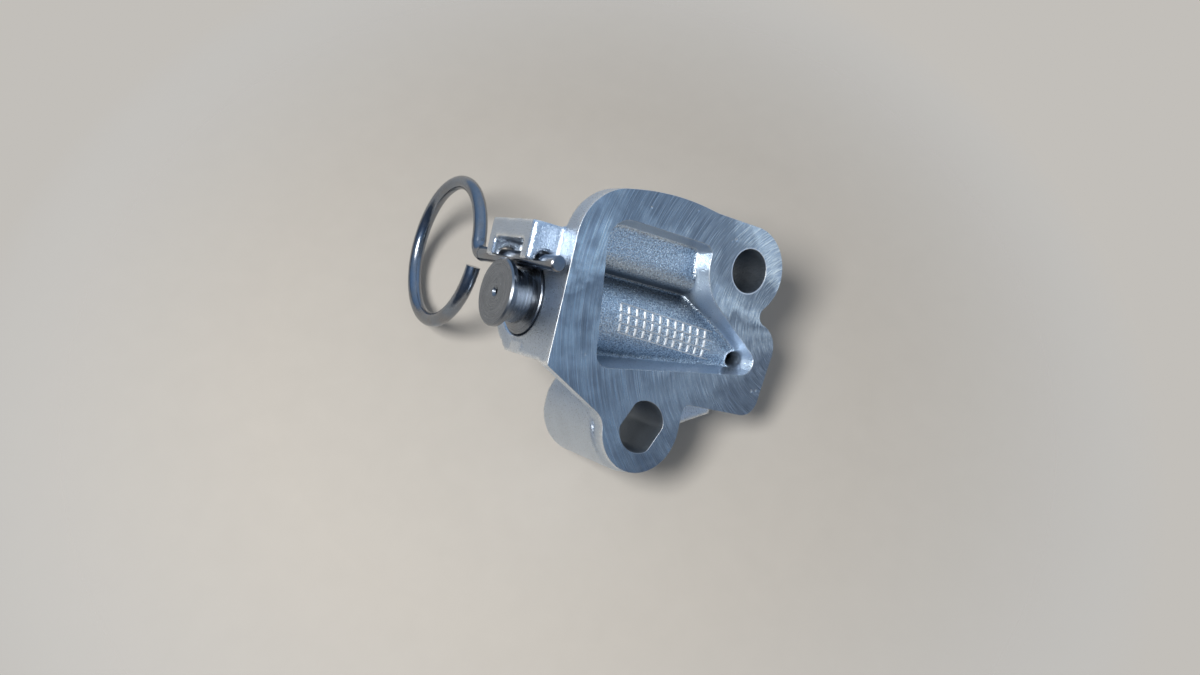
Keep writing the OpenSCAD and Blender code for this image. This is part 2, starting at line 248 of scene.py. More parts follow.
# selecting and editing

def only(obj):
    """Makes obj the one selected and active object."""
    bpy.ops.object.select_all(action="DESELECT")
    obj.select_set(True)
    bpy.context.view_layer.objects.active = obj


def edit(obj):
    """Goes into edit mode on obj with nothing selected."""
    only(obj)
    bpy.ops.object.mode_set(mode="EDIT")
    bpy.ops.mesh.select_mode(type="EDGE")
    bpy.ops.mesh.select_all(action="DESELECT")


def leave_edit():
    """Goes back to object mode."""
    bpy.ops.object.mode_set(mode="OBJECT")


def select(obj, kind, wanted):
    """In edit mode, selects only the faces, edges or verts for which wanted is true."""
    bpy.ops.mesh.select_mode(type={"faces": "FACE", "edges": "EDGE", "verts": "VERT"}[kind])
    bpy.ops.mesh.select_all(action="DESELECT")
    shape = bmesh.from_edit_mesh(obj.data)
    found = [item for item in getattr(shape, kind) if wanted(item)]
    if not found:
        raise RuntimeError(f"{obj.name} has no such {kind}")
    for item in found:
        item.select_set(True)
    bmesh.update_edit_mesh(obj.data)


def copy_of_node(node, name):
    """A new object with a merged copy of a CAD node's mesh."""
    mesh = NODES[node].data.copy()
    mesh.name = name
    obj = bpy.data.objects.new(name, mesh)
    bpy.context.scene.collection.objects.link(obj)
    edit(obj)
    bpy.ops.mesh.select_all(action="SELECT")
    bpy.ops.mesh.customdata_custom_splitnormals_clear()
    bpy.ops.mesh.remove_doubles(threshold=SAME_POINT)
    bpy.ops.mesh.dissolve_limited(angle_limit=SAME_PLANE)
    leave_edit()
    return obj


def smooth(obj, degrees):
    """Shades obj smooth, apart from edges sharper than degrees."""
    only(obj)
    bpy.ops.object.shade_smooth_by_angle(angle=math.radians(degrees))


def modify(obj, kind, **settings):
    """Adds a modifier with these settings to obj, and applies it."""
    only(obj)
    modifier = obj.modifiers.new(kind.lower(), kind)
    for name, value in settings.items():
        setattr(modifier, name, value)
    bpy.ops.object.modifier_apply(modifier=modifier.name)


# shader building

def new_material(name, metallic=0.0):
    """A new material, its node tree and its shader."""
    material = bpy.data.materials.get(name)
    if material:
        bpy.data.materials.remove(material)
    material = bpy.data.materials.new(name)
    material.use_nodes = True
    tree = material.node_tree
    shader = tree.nodes["Principled BSDF"]
    shader.inputs["Metallic"].default_value = metallic
    return material, tree, shader


def add(tree, kind, **sockets):
    """Adds a node, and sets its input sockets by name, with _ for a space."""
    node = tree.nodes.new(kind)
    for name, value in sockets.items():
        node.inputs[name.replace("_", " ")].default_value = value
    return node


def math_node(tree, operation, a, b=None, clamp=False):
    """What an operation makes of one or two values, which are numbers or sockets."""
    node = tree.nodes.new("ShaderNodeMath")
    node.operation = operation
    node.use_clamp = clamp
    for socket, value in zip(node.inputs, (a, b)):
        if value is None:
            continue
        if isinstance(value, (int, float)):
            socket.default_value = value
        else:
            tree.links.new(value, socket)
    return node.outputs[0]


def span(tree, value, low=0.0, high=1.0, to_low=0.0, to_high=1.0):
    """Maps value from low..high to to_low..to_high, and holds it there."""
    node = add(tree, "ShaderNodeMapRange", From_Min=low, From_Max=high, To_Min=to_low,
               To_Max=to_high)
    node.clamp = True
    tree.links.new(value, node.inputs["Value"])
    return node.outputs["Result"]


def mix_colour(tree, factor, a, b):
    """The colour that factor picks between a and b, which are colours or sockets."""
    node = tree.nodes.new("ShaderNodeMix")
    node.data_type = "RGBA"
    colours = [s for s in node.inputs if s.type == "RGBA"]
    for socket, value in ((node.inputs[0], factor), (colours[0], a), (colours[1], b)):
        if isinstance(value, bpy.types.NodeSocket):
            tree.links.new(value, socket)
        elif isinstance(value, (int, float)):
            socket.default_value = value
        else:
            socket.default_value = (*value[:3], 1.0)
    return [s for s in node.outputs if s.type == "RGBA"][0]


def ramp(tree, factor, stops):
    """The colour that factor picks on a ramp of (position, colour) stops."""
    node = tree.nodes.new("ShaderNodeValToRGB")
    steps = node.color_ramp.elements
    while len(steps) < len(stops):
        steps.new(0.5)
    for step, (at, colour) in zip(steps, stops):
        step.position = at
        step.color = (*colour, 1.0)
    tree.links.new(factor, node.inputs["Fac"])
    return node.outputs["Color"]


def node_group(name, inputs, outputs):
    """A shader node group with named value inputs and outputs."""
    tree = bpy.data.node_groups.new(name, "ShaderNodeTree")
    for label, kind, default in inputs:
        socket = tree.interface.new_socket(label, in_out="INPUT", socket_type=kind)
        if default is not None:
            socket.default_value = default
    for label, kind in outputs:
        tree.interface.new_socket(label, in_out="OUTPUT", socket_type=kind)
    return tree, tree.nodes.new("NodeGroupInput"), tree.nodes.new("NodeGroupOutput")


def place_group(tree, group, **values):
    """Places a node group, and sets its inputs by name, with _ for a space."""
    node = tree.nodes.new("ShaderNodeGroup")
    node.node_tree = group
    for name, value in values.items():
        node.inputs[name.replace("_", " ")].default_value = value
    return node


def object_place(tree):
    """The place on the piece, in the part's own frame."""
    return tree.nodes.new("ShaderNodeTexCoord").outputs["Object"]


def parts_of(tree, vector):
    """The X, Y and Z of a vector."""
    node = tree.nodes.new("ShaderNodeSeparateXYZ")
    tree.links.new(vector, node.inputs[0])
    return node.outputs


def vector_value(tree, operation, vector, other=None):
    """One number from a vector, such as its LENGTH or its DISTANCE from another."""
    node = tree.nodes.new("ShaderNodeVectorMath")
    node.operation = operation
    tree.links.new(vector, node.inputs[0])
    if other is not None:
        node.inputs[1].default_value = other
    return node.outputs["Value"]


def root_of_squares(tree, a, b):
    """The length that a and b span at right angles."""
    squares = [math_node(tree, "MULTIPLY", side, side) for side in (a, b)]
    return math_node(tree, "SQRT", math_node(tree, "ADD", *squares))


def point_value(tree, name):
    """A number that the mesh keeps for each of its points."""
    node = tree.nodes.new("ShaderNodeAttribute")
    node.attribute_name = name
    return node.outputs["Fac"]


def grain_group():
    """Grain of a blasted or cast skin: fine grit, small pits and broad cloudy patches."""
    name = "Cast grain"
    if name in bpy.data.node_groups:
        return bpy.data.node_groups[name]
    tree, given, out = node_group(
        name,
        [("Place", "NodeSocketVector", None), ("Grit size", "NodeSocketFloat", 0.0002),
         ("Cloud size", "NodeSocketFloat", 0.004)],
        [("Height", "NodeSocketFloat"), ("Grit", "NodeSocketFloat"), ("Clouds", "NodeSocketFloat")])
    link = tree.links.new
    grit = add(tree, "ShaderNodeTexNoise", Detail=3.0, Roughness=0.6)
    link(given.outputs["Place"], grit.inputs["Vector"])
    link(math_node(tree, "DIVIDE", 1.0, given.outputs["Grit size"]), grit.inputs["Scale"])
    # pits are wider apart than the grit, and lower
    pit_scale, pit_height = 0.7, 0.45
    pits = tree.nodes.new("ShaderNodeTexVoronoi")
    link(given.outputs["Place"], pits.inputs["Vector"])
    link(math_node(tree, "DIVIDE", pit_scale, given.outputs["Grit size"]), pits.inputs["Scale"])
    clouds = add(tree, "ShaderNodeTexNoise", Detail=4.0, Roughness=0.55)
    link(given.outputs["Place"], clouds.inputs["Vector"])
    link(math_node(tree, "DIVIDE", 1.0, given.outputs["Cloud size"]), clouds.inputs["Scale"])
    raised = span(tree, pits.outputs["Distance"], 0.0, 0.75, to_low=1.0, to_high=0.0)
    raised = math_node(tree, "MULTIPLY", raised, pit_height)
    link(math_node(tree, "ADD", raised, grit.outputs["Fac"]), out.inputs["Height"])
    link(span(tree, grit.outputs["Fac"], 0.35, 0.65), out.inputs["Grit"])
    link(span(tree, clouds.outputs["Fac"], 0.3, 0.7), out.inputs["Clouds"])
    return tree


def lines_group():
    """Tool lines: fine and coarse lines across one coordinate, broken up along the other."""
    name = "Tool lines"
    if name in bpy.data.node_groups:
        return bpy.data.node_groups[name]
    tree, given, out = node_group(
        name,
        [("Across", "NodeSocketFloat", 0.0), ("Along", "NodeSocketFloat", 0.0),
         ("Line pitch", "NodeSocketFloat", 0.0002), ("Line length", "NodeSocketFloat", 0.01)],
        [("Height", "NodeSocketFloat"), ("Streaks", "NodeSocketFloat")])
    link = tree.links.new
    across = math_node(tree, "DIVIDE", given.outputs["Across"], given.outputs["Line pitch"])
    along = math_node(tree, "DIVIDE", given.outputs["Along"], given.outputs["Line length"])

    def lines(times, detail):
        place = tree.nodes.new("ShaderNodeCombineXYZ")
        link(math_node(tree, "MULTIPLY", across, times), place.inputs["X"])
        link(along, place.inputs["Y"])
        noise = add(tree, "ShaderNodeTexNoise", Scale=1.0, Detail=detail, Roughness=0.6)
        link(place.outputs[0], noise.inputs["Vector"])
        return noise.outputs["Fac"]

    fine_share, coarse_share = 0.72, 0.28
    fine = math_node(tree, "MULTIPLY", lines(times=1.0, detail=2.0), fine_share)
    coarse = math_node(tree, "MULTIPLY", lines(times=0.22, detail=3.0), coarse_share)
    total = math_node(tree, "ADD", fine, coarse)
    link(total, out.inputs["Height"])
    link(span(tree, total, 0.38, 0.62), out.inputs["Streaks"])
    return tree


def grained(tree, grit_size, cloud_size):
    """The cast grain's outputs over the piece."""
    node = place_group(tree, grain_group(), Grit_size=grit_size, Cloud_size=cloud_size)
    tree.links.new(object_place(tree), node.inputs["Place"])
    return node.outputs


def coat(tree, shader, colour, rough, height, strength, depth):
    """Gives a shader its colour, its roughness and a bump."""
    bump = add(tree, "ShaderNodeBump", Strength=strength, Distance=depth)
    tree.links.new(height, bump.inputs["Height"])
    for value, label in ((colour, "Base Color"), (rough, "Roughness"),
                         (bump.outputs["Normal"], "Normal")):
        tree.links.new(value, shader.inputs[label])


def scaled(colour, by):
    """A colour made lighter or darker, up to white."""
    return tuple(min(1.0, c * by) for c in colour)


def shaded(tree, factor, colour, dark, light):
    """The shade of a colour that factor picks between a dark and a light one."""
    return mix_colour(tree, factor, scaled(colour, dark), scaled(colour, light))


def cast_skin(name, colour, edge_colour, grit_size, depth, rough):
    """Grey cast aluminium with a coarse blasted grain, rubbed bright on its edges, with painted
    shade in the pocket's valleys.
    """
    material, tree, shader = new_material(name, metallic=1.0)
    grain = grained(tree, grit_size, cloud_size=0.0035)
    grit, clouds = grain["Grit"], grain["Clouds"]
    edge, pocket, drafted = (point_value(tree, label) for label in WORN_POINTS)
    # the pocket is more speckled than the outside
    outer = mix_colour(tree, 0.5, shaded(tree, clouds, colour, dark=0.88, light=1.06),
                       shaded(tree, grit, colour, dark=0.9, light=1.1))
    skin = mix_colour(tree, pocket, outer, shaded(tree, grit, colour, dark=0.5, light=1.45))
    # painted shade: its valleys, and the drafted walls beside them, are darkened by depth
    place = parts_of(tree, object_place(tree))
    deep = span(tree, place["Z"], *SHADED_VALLEY_Z, to_low=0.72, to_high=0.0)
    wall = math_node(tree, "MULTIPLY", drafted,
                     math_node(tree, "LESS_THAN", place["Y"], SHADED_WALL_Y))
    painted_shade = math_node(tree, "MULTIPLY", deep, math_node(tree, "MAXIMUM", pocket, wall))
    skin = mix_colour(tree, painted_shade, skin, scaled(colour, 0.12))
    rubbed = math_node(tree, "MULTIPLY", edge,
                       span(tree, clouds, 0.0, 0.8, to_low=0.45, to_high=1.0))
    # the outside is duller than the pocket, and rubbed metal smoother than both
    grainy = span(tree, grit, to_low=rough - 0.07, to_high=rough + 0.07)
    dull = math_node(tree, "ADD", grainy, span(tree, pocket, to_low=0.07, to_high=0.0))
    # drafted walls and rubbed edges have hardly any grain
    eased = math_node(tree, "MAXIMUM", rubbed, drafted)
    height = math_node(tree, "MULTIPLY", grain["Height"],
                       span(tree, eased, 0.0, 0.8, to_low=1.0, to_high=0.2))
    height = math_node(tree, "MULTIPLY", height, span(tree, pocket, to_low=0.75, to_high=1.0))
    coat(tree, shader, colour=mix_colour(tree, rubbed, skin, edge_colour),
         rough=math_node(tree, "SUBTRACT", dull, math_node(tree, "MULTIPLY", rubbed, 0.08)),
         height=height, strength=1.0, depth=depth)
    return material


def milled_metal(name, colour, edge_colour):
    """Face cut by one sweep of a wide cutter: curved lines, fans of painted highlight and a few
    nicks.
    """
    material, tree, shader = new_material(name, metallic=1.0)
    link = tree.links.new
    place = object_place(tree)
    split = parts_of(tree, place)
    x, y = (math_node(tree, "SUBTRACT", split[axis], middle)
            for axis, middle in zip("XY", CUTTER_XY))
    turn = math_node(tree, "ARCTAN2", y, x)
    lines = place_group(tree, lines_group(), Line_pitch=0.00014, Line_length=0.008)
    link(root_of_squares(tree, x, y), lines.inputs["Across"])
    link(math_node(tree, "MULTIPLY", turn, CUTTER_REACH), lines.inputs["Along"])
    streaks = lines.outputs["Streaks"]
    grain = grained(tree, grit_size=0.0006, cloud_size=0.005)
    # painted highlights: some fans of the cutter's sweep are painted brighter than others, as
    # reflections
    uneven = span(tree, grain["Clouds"], to_low=-0.16, to_high=0.16)
    fans = ramp(tree, span(tree, math_node(tree, "ADD", turn, uneven), *FAN_SPAN),
                [(at, (shine, shine, shine)) for at, shine in PAINTED_SHEEN_FANS])
    painted_sheen = mix_colour(tree, fans, shaded(tree, streaks, colour, dark=0.30, light=0.62),
                           shaded(tree, streaks, colour, dark=1.05, light=1.8))
    nick = None
    for spot, size in NICKS:
        gap = vector_value(tree, "DISTANCE", place, (spot[0] * MM, spot[1] * MM, FACE_Z))
        dent = span(tree, gap, size * 0.5 * MM, size * MM, to_low=1.0, to_high=0.0)
        nick = dent if nick is None else math_node(tree, "MAXIMUM", nick, dent)
    nick = math_node(tree, "MULTIPLY", nick, grain["Grit"], clamp=True)
    rim = span(tree, vector_value(tree, "LENGTH", place), *RIM_REACH, to_low=0.9, to_high=0.0)
    rubbed = math_node(tree, "MAXIMUM", nick, rim)
    lined = span(tree, streaks, to_low=0.42, to_high=0.24)
    height = math_node(tree, "SUBTRACT", lines.outputs["Height"],
                       math_node(tree, "MULTIPLY", nick, 2.0))
    coat(tree, shader, colour=mix_colour(tree, rubbed, painted_sheen, edge_colour),
         rough=math_node(tree, "SUBTRACT", lined, math_node(tree, "MULTIPLY", fans, 0.08)),
         height=height, strength=0.8, depth=0.00004)
    return material


def rubbed_edge(name, colour, rough, metallic=1.0):
    """Edge rubbed bright by handling."""
    material, tree, shader = new_material(name, metallic)
    grain = grained(tree, grit_size=0.00025, cloud_size=0.002)
    coat(tree, shader, colour=shaded(tree, grain["Clouds"], colour, dark=0.78, light=1.0),
         rough=span(tree, grain["Clouds"], to_low=rough + 0.07, to_high=rough - 0.07),
         height=grain["Height"], strength=0.5, depth=0.00003)
    return material


def turned_metal(name, colour, pitch, rough, specks=0.0):
    """Metal turned about the plunger's axis: rings on the ends, hoops on the sides."""
    material, tree, shader = new_material(name, metallic=1.0)
    link = tree.links.new
    place = object_place(tree)
    split = parts_of(tree, place)
    y = math_node(tree, "SUBTRACT", split["Y"], AXIS_Y)
    z = math_node(tree, "SUBTRACT", split["Z"], AXIS_Z)
    lines = place_group(tree, lines_group(), Line_pitch=pitch, Line_length=0.012)
    link(math_node(tree, "ADD", root_of_squares(tree, y, z), split["X"]), lines.inputs["Across"])
    link(math_node(tree, "MULTIPLY", math_node(tree, "ARCTAN2", z, y), TURNED_REACH),
         lines.inputs["Along"])
    streaks = lines.outputs["Streaks"]
    grain = grained(tree, grit_size=0.0004, cloud_size=0.0025)
    ringed = shaded(tree, streaks, colour, dark=0.85, light=1.12)
    clouded = mix_colour(tree, span(tree, grain["Clouds"], to_high=0.5), ringed,
                         scaled(colour, 0.8))
    if specks:
        spots = add(tree, "ShaderNodeTexVoronoi", Scale=1500.0)
        link(place, spots.inputs["Vector"])
        spot = math_node(tree, "LESS_THAN", spots.outputs["Distance"], specks)
        clouded = mix_colour(tree, spot, clouded, scaled(colour, 1.7))
    coat(tree, shader, colour=clouded,
         rough=span(tree, streaks, to_low=rough + 0.06, to_high=rough - 0.05),
         height=lines.outputs["Height"], strength=0.6, depth=0.000012)
    return material


def drawn_wire(name, colour, rough):
    """Drawn steel wire with a blue heat tint and thin scuffs."""
    material, tree, shader = new_material(name, metallic=1.0)
    grain = grained(tree, grit_size=0.00035, cloud_size=0.003)
    brown, blue = (tuple(c * by for c, by in zip(colour, tint))
                   for tint in ((1.12, 1.0, 0.9), (0.88, 1.0, 1.15)))
    tinted = mix_colour(tree, grain["Clouds"], brown, blue)
    scuffs = span(tree, grain["Grit"], to_high=0.4)
    coat(tree, shader, colour=mix_colour(tree, scuffs, tinted, scaled(colour, 1.35)),
         rough=span(tree, grain["Clouds"], to_low=rough + 0.06, to_high=rough - 0.05),
         height=grain["Height"], strength=0.5, depth=0.00002)
    return material


def polished_metal(name, colour, rough):
    """Ground and polished steel with faint clouding."""
    material, tree, shader = new_material(name, metallic=1.0)
    grain = grained(tree, grit_size=0.0003, cloud_size=0.0015)
    coat(tree, shader, colour=shaded(tree, grain["Clouds"], colour, dark=0.9, light=1.0),
         rough=span(tree, grain["Grit"], to_low=rough, to_high=rough + 0.06),
         height=grain["Height"], strength=0.3, depth=0.000004)
    return material


def dress(obj, *materials):
    """Gives obj these materials alone."""
    obj.data.materials.clear()
    for material in materials:
        obj.data.materials.append(material)


class TENSIONER_OT_housing(bpy.types.Operator):
    """Casts the housing with eased edges, mills its face and gives each surface its finish"""

    bl_idname = "tensioner.housing"
    bl_label = "Cast housing"

    # places of the finishes among the casting's materials
    SKIN, MILLED, EDGE, BORED, CORED = range(5)
    # how far up the mounting face looks, the cut through the stock, and the face's broken edge
    FACE_UP, CUT_UP, EDGE_UP = 0.99, 0.999, 0.3
    # heights this near count as the face's or the cut's, and shorter edges of the cut are merged
    SAME_HEIGHT, ON_PLANE, SHORT_EDGE = 1e-6, 1e-7, 0.08 * MM
    # bend of the surface, in radians to a millimetre, where rubbing starts, and from there to full
    RUBBED_FROM, RUBBED_SPAN = 0.7, 1.4
    # keeps an edge without length from dividing by nothing
    LEAST_SQUARE = 1e-12
    # how bright the gate's pad is rubbed, and how far past its room
    PAD_SHINE, PAD_MARGIN = 0.45, 0.1 * MM
    # how far up the pocket's walls look at least, and from where on its floor counts as level
    WALL_UP, LEVEL_FROM, LEVEL_SPAN = 0.02, 0.45, 0.3
    # how far past the bore's own radius and mouth its faces lie, and how far inward they look
    BORE_MARGIN, MOUTH_MARGIN, BORE_INWARD = 0.4 * MM, 0.01 * MM, -3.0 * MM
    # how far up or down the wall of a bolt hole looks at most
    HOLE_LEAN = 0.5

    def execute(self, context):
        looks = context.scene.tensioner.casting
        casting = copy_of_node("housing", "cast_housing")
        self.leave_stock(casting, looks.milling_stock)
        self.cast(casting, looks)
        self.mill(casting, looks.face_edge)
        self.wear(casting.data)
        skin = cast_skin("cast_skin", looks.skin_colour, looks.edge_colour, grit_size=0.00022,
                         depth=0.0001, rough=0.27)
        milled = milled_metal("milled_face", looks.face_colour, looks.edge_colour)
        rubbed = rubbed_edge("rubbed_edge", scaled(looks.edge_colour, 0.75), rough=0.5)
        bored = turned_metal("bored_metal", looks.skin_colour, pitch=0.0002, rough=0.28)
        # painted shade: the bolt holes' walls take the skin at half its brightness, dark as the
        # shade inside them
        cored = cast_skin("cored_hole", scaled(looks.skin_colour, 0.5), looks.skin_colour,
                          grit_size=0.0003, depth=0.00005, rough=0.4)
        dress(casting, skin, milled, rubbed, bored, cored)
        for face in casting.data.polygons:
            face.material_index = self.finish_of(face, looks.face_edge)
        smooth(casting, degrees=35)
        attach(casting, "base")
        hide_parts("housing")
        return {"FINISHED"}

    def leave_stock(self, casting, stock):
        """Raises the mounting face by the metal that the mill takes off."""
        edit(casting)
        select(casting, "faces", lambda f: f.normal.z > self.FACE_UP and abs(
            f.calc_center_median().z - FACE_Z) < self.SAME_HEIGHT)
        bpy.ops.mesh.extrude_region_move(TRANSFORM_OT_translate={"value": (0, 0, stock)})
        leave_edit()

    @staticmethod
    def cast(casting, looks):
        """Eases every edge and corner as a die casting's are."""
        modify(casting, "REMESH", mode="VOXEL", voxel_size=looks.cast_cell)
        modify(casting, "SMOOTH", factor=0.5, iterations=looks.rounding)
        modify(casting, "DECIMATE", ratio=looks.kept_detail)

    def mill(self, casting, face_edge):
        """Cuts the stock off and breaks the new face's edge."""
        edit(casting)
        low = FACE_Z - face_edge
        bpy.ops.mesh.select_all(action="SELECT")
        bpy.ops.mesh.bisect(plane_co=(0, 0, low), plane_no=(0, 0, 1), use_fill=True,
                            clear_outer=True, threshold=self.ON_PLANE)
        select(casting, "verts", lambda v: abs(v.co.z - low) < self.ON_PLANE)
        bpy.ops.mesh.remove_doubles(threshold=self.SHORT_EDGE)
        select(casting, "faces", lambda f: f.normal.z > self.CUT_UP and all(
            abs(v.co.z - low) < self.ON_PLANE for v in f.verts))
        bpy.ops.mesh.inset(thickness=face_edge, depth=face_edge, use_boundary=True,
                           use_even_offset=True)
        leave_edit()

    def wear(self, mesh):
        """Writes what each point is, for the finish there: edge, pocket's floor or drafted wall."""

        def listed(items, label, width, kind=float):
            values = np.empty(len(items) * width, dtype=kind)
            items.foreach_get(label, values)
            return values.reshape(-1, width)

        count = len(mesh.vertices)
        place = listed(mesh.vertices, "co", 3)
        normal = listed(mesh.vertex_normals, "vector", 3)
        a, b = listed(mesh.edges, "vertices", 2, np.int32).T
        step = place[b] - place[a]
        bend = np.einsum("ij,ij->i", normal[b] - normal[a], step) / np.maximum(
            np.einsum("ij,ij->i", step, step), self.LEAST_SQUARE)
        sharp = np.zeros(count)
        for end in (a, b):
            np.maximum.at(sharp, end, bend)
        worn = np.clip((sharp * MM - self.RUBBED_FROM) / self.RUBBED_SPAN, 0.0, 1.0)
        # each point takes the mean of itself and its neighbours
        total, near = worn.copy(), np.ones(count)
        for here, there in ((a, b), (b, a)):
            np.add.at(total, here, worn[there])
            np.add.at(near, here, 1.0)
        worn = total / near

        def within(room, margin):
            low, high = (np.array(corner) for corner in room)
            return np.all((place > low - margin) & (place < high + margin), axis=1)

        worn = np.maximum(worn, within(GATE_PAD, self.PAD_MARGIN) * self.PAD_SHINE)
        inside = within(POCKET_ROOM, 0.0) & (normal[:, 2] > self.WALL_UP)
        level = np.clip((normal[:, 2] - self.LEVEL_FROM) / self.LEVEL_SPAN, 0.0, 1.0)
        for label, values in zip(WORN_POINTS, (worn, inside * level, inside * (1.0 - level))):
            attribute = mesh.attributes.new(label, "FLOAT", "POINT")
            attribute.data.foreach_set("value", values.astype(np.float32))

    def finish_of(self, face, face_edge):
        """The place of a face's finish among the casting's materials."""
        centre, normal = face.center, face.normal
        if abs(centre.z - FACE_Z) < self.SAME_HEIGHT and normal.z > self.FACE_UP:
            return self.MILLED
        if centre.z > FACE_Z - face_edge and normal.z > self.EDGE_UP:
            return self.EDGE
        reach = math.hypot(centre.y - AXIS_Y, centre.z - AXIS_Z)
        inward = (centre.y - AXIS_Y) * normal.y + (centre.z - AXIS_Z) * normal.z
        in_bore = reach < BORE_R + self.BORE_MARGIN and centre.x < MOUTH_X + self.MOUTH_MARGIN
        if in_bore and inward < self.BORE_INWARD:
            return self.BORED
        for hole, room in BOLT_HOLES:
            away = Vector((centre.x - hole[0], centre.y - hole[1]))
            upright = abs(normal.z) < self.HOLE_LEAN
            if away.length < room and away.dot(normal.xy) < 0 and upright:
                return self.CORED
        return self.SKIN


class TENSIONER_OT_raised_grid(bpy.types.Operator):
    """Adds the mould's grid of raised strokes on the barrel's crest in the pocket"""

    bl_idname = "tensioner.raised_grid"
    bl_label = "Raised grid"

    # the grid's middle on the barrel, the tilt of its rows and the lean of its strokes, in degrees
    CENTRE = Vector((11.5 * MM, 12.27 * MM, 0))
    TILT, LEAN = -2.9, 6.5
    # how deep a mark's foot is in the metal, and how far a thin line overlaps the next
    SINK = 0.12 * MM
    LINE_LAP = 1.02
    # shares of a bar's width and height that its rounded back takes at most
    ROUND_WIDTH, ROUND_HEIGHT, ROUND_STEPS = 0.42, 0.9, 3

    def execute(self, context):
        looks = context.scene.tensioner.marks
        tilt, lean = math.radians(self.TILT), math.radians(self.LEAN)
        along = Vector((math.cos(tilt), math.sin(tilt), 0))
        down = Vector((-math.sin(lean), math.cos(lean), 0))
        first = (self.CENTRE - along * (looks.columns - 1) / 2 * looks.pitch
                 - down * (looks.rows - 1) / 2 * looks.row_pitch)

        def spot(column, row):
            return first + along * column * looks.pitch + down * row * looks.row_pitch

        stroke = self.bar(looks.stroke_width, looks.stroke_length, looks.stroke_height)
        line = self.bar(looks.line_width, looks.pitch * self.LINE_LAP, looks.line_height)
        strokes = [self.lay(stroke, spot(column, row), lean, looks.stroke_height)
                   for row in range(looks.rows) for column in range(looks.columns)]
        lines = [self.lay(line, spot(column - 0.5, row - 0.5), tilt + math.pi / 2,
                          looks.line_height)
                 for row in range(looks.rows + 1) for column in range(looks.columns)]
        for bar in (stroke, line):
            bpy.data.objects.remove(bar)
        colour = looks.stroke_colour
        bright = rubbed_edge("raised_strokes", colour, rough=0.3, metallic=0.35)
        duller = rubbed_edge("raised_lines", scaled(colour, 0.85), rough=0.34, metallic=0.5)
        only(strokes[0])
        for marks, finish in ((strokes, bright), (lines, duller)):
            for mark in marks:
                dress(mark, finish)
                mark.select_set(True)
        bpy.ops.object.join()
        grid = context.view_layer.objects.active
        grid.name = grid.data.name = "raised_grid"
        smooth(grid, degrees=50)
        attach(grid, "base")
        return {"FINISHED"}

    def bar(self, width, length, height):
        """One bar along Y with a rounded back."""
        bpy.ops.object.select_all(action="DESELECT")
        bpy.ops.mesh.primitive_cube_add(size=1.0)
        bar = bpy.context.active_object
        bpy.ops.object.mode_set(mode="EDIT")
        bpy.ops.transform.resize(value=(width, length, height + self.SINK))
        select(bar, "edges", lambda e: all(v.co.z > 0 for v in e.verts))
        bpy.ops.mesh.bevel(offset=min(width * self.ROUND_WIDTH, height * self.ROUND_HEIGHT),
                           segments=self.ROUND_STEPS, affect="EDGES", clamp_overlap=False)
        leave_edit()
        return bar

    def lay(self, bar, place, turn, height):
        """A copy of a bar, turned and laid over the barrel with its foot in the metal."""
        mark = bar.copy()
        mark.data = bar.data.copy()
        bpy.context.scene.collection.objects.link(mark)
        turned = Matrix.Rotation(turn, 4, "Z")
        for vertex in mark.data.vertices:
            vertex.co = turned @ vertex.co
            vertex.co.x += place.x
            vertex.co.y += place.y
            off = vertex.co.y - AXIS_Y
            crest = AXIS_Z + math.sqrt(BARREL_R ** 2 - off ** 2)
            vertex.co.z += crest + (height - self.SINK) / 2
        return mark


class TENSIONER_OT_steel(bpy.types.Operator):
    """Finishes the plunger, the ring pin and the valve's pieces"""

    bl_idname = "tensioner.steel"
    bl_label = "Steel pieces"

    def execute(self, context):
        looks = context.scene.tensioner.steel
        dress(NODES["plunger"], turned_metal(
            "turned_steel", looks.plunger_colour, pitch=0.00022, rough=0.26, specks=0.12))
        dress(NODES["lock_pin"], drawn_wire("pin_wire", looks.pin_colour, rough=0.2))
        valve = turned_metal("valve_steel", looks.valve_colour, pitch=0.0003, rough=0.32)
        for node in ("vent_disc", "check_seat", "check_cage"):
            dress(NODES[node], valve)
        dress(NODES["check_ball"], polished_metal(
            "bearing_steel", looks.ball_colour, rough=0.08))
        return {"FINISHED"}


